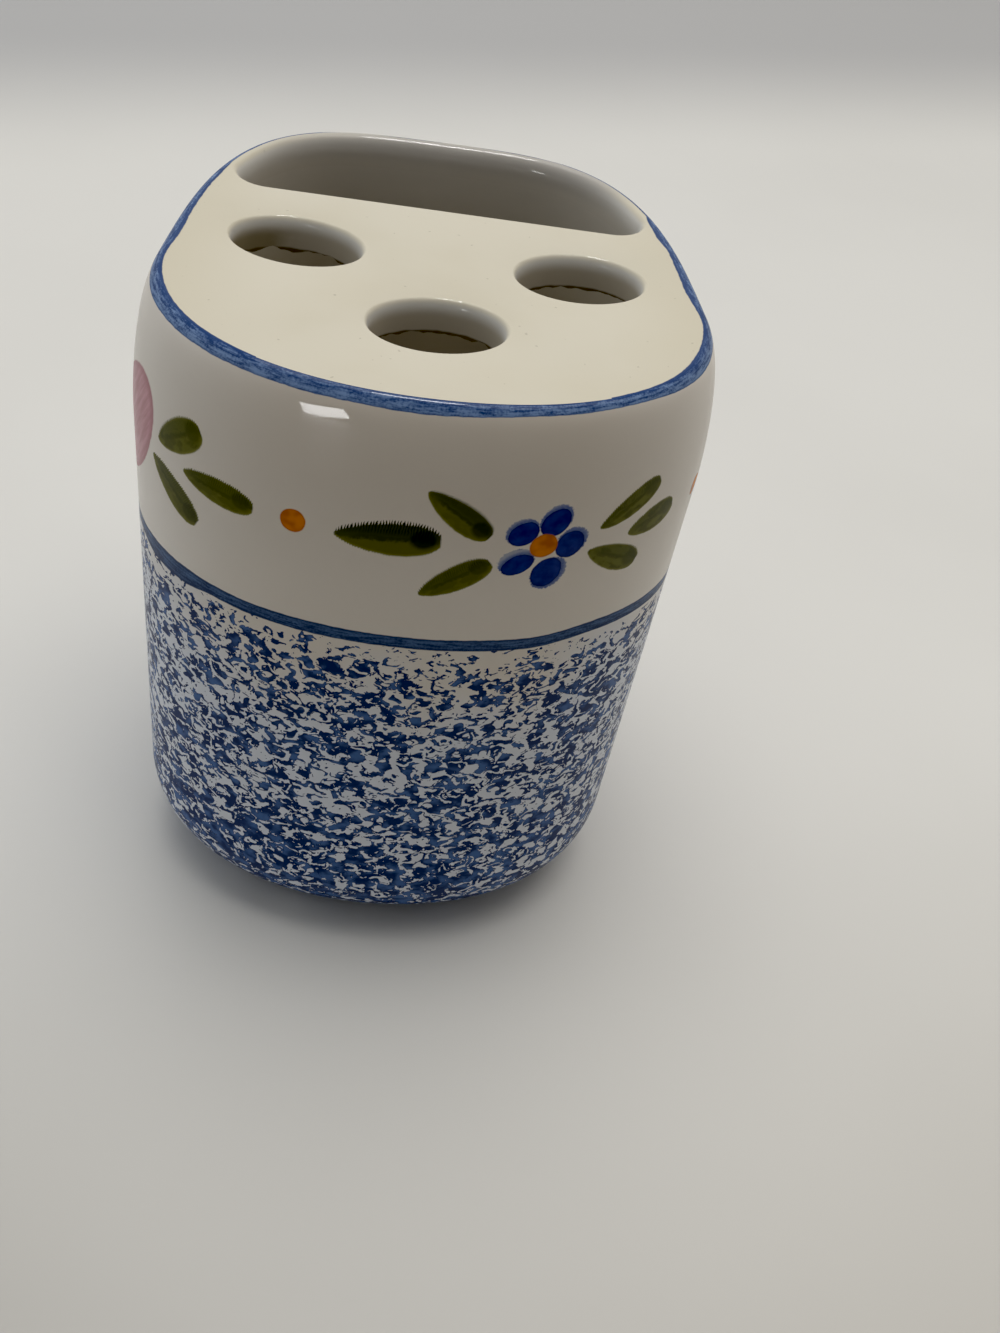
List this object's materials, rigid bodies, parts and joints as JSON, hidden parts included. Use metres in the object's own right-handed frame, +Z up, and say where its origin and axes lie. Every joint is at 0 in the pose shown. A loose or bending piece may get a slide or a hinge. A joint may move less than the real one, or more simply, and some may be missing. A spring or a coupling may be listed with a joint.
{
  "type": "toothbrush holder",
  "caption": "Free-standing glazed ceramic holder with a rounded body, oval holes for toothbrushes in its deck and a wide slot at the back for a tube of toothpaste.",
  "frame": {"origin": "centre of the body's bounding box, on the table", "axes": "+Z up, the front of the body faces -Y, the paste slot is towards +Y, +X is the viewer's right from the front"},
  "size_m": [0.088, 0.0926, 0.11],
  "materials": {
    "painted_glaze": "glossy white glaze with blue lines, a painted band and a sponged lower half",
    "cream_glaze": "glossy cream glaze",
    "well_glaze": "thin satin glaze inside",
    "dry_clay": "dry unglazed clay"
  },
  "bodies": {
    "root": {"outer_wall": "painted_glaze", "top_deck": "cream_glaze", "floor_slab": "well_glaze", "foot_ring": "dry_clay"}
  },
  "joints": []
}
